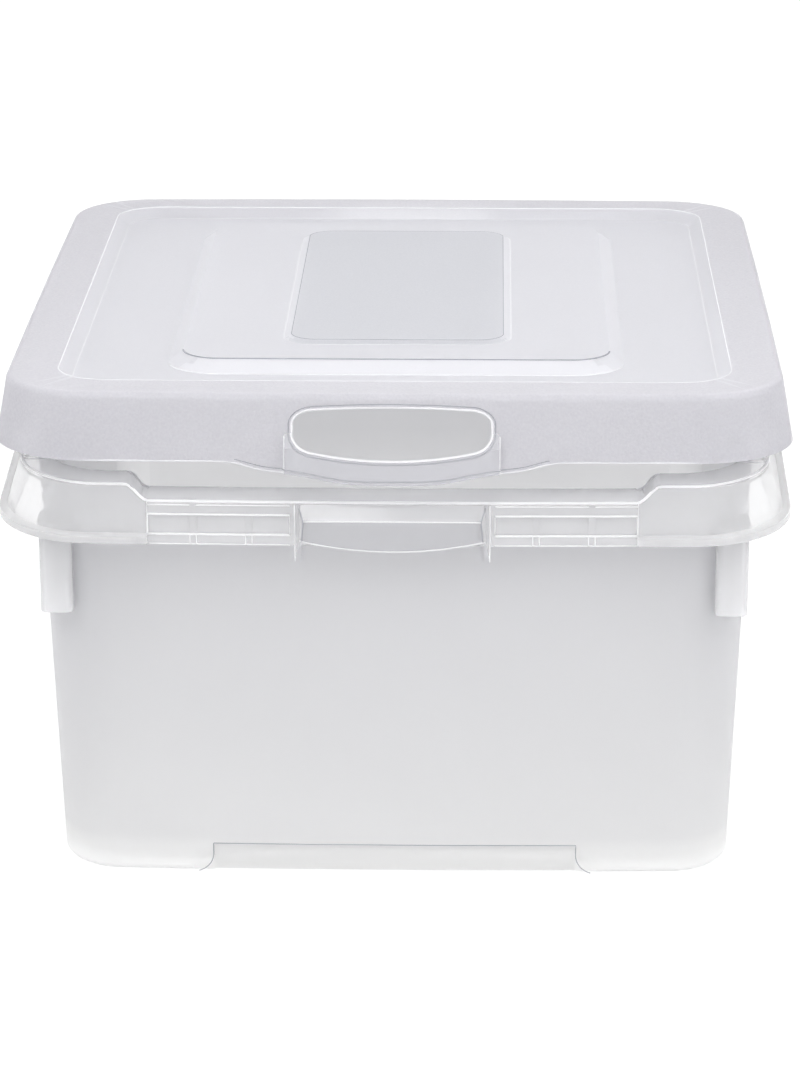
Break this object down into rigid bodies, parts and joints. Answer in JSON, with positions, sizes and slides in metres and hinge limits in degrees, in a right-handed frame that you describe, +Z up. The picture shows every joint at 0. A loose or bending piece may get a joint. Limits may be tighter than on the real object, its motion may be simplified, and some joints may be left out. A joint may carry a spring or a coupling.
{
  "type": "lidded storage box",
  "caption": "Clear plastic storage tub with a lid that hooks over a catch at each end, shown with the front of the lid raised.",
  "frame": {"origin": "middle of the base, on the table it rests on", "axes": "+Z up; -Y is the front, the end whose lid is raised; +X is to the right seen from the front"},
  "size_m": [0.3, 0.3559, 0.2021],
  "materials": {
    "clear_tub": "clear, glossy",
    "frosted_lid": "frosted, fine grained"
  },
  "bodies": {
    "tub": {"tub": "clear_tub"},
    "lid": {"lid": "frosted_lid"}
  },
  "joints": [
    {"name": "lid_hinge", "type": "hinge", "parent": "tub", "child": "lid", "pos_m": [0, 0.175, 0.1552], "axis": [-1, 0, 0], "range_deg": [-4.8, 7]}
  ]
}
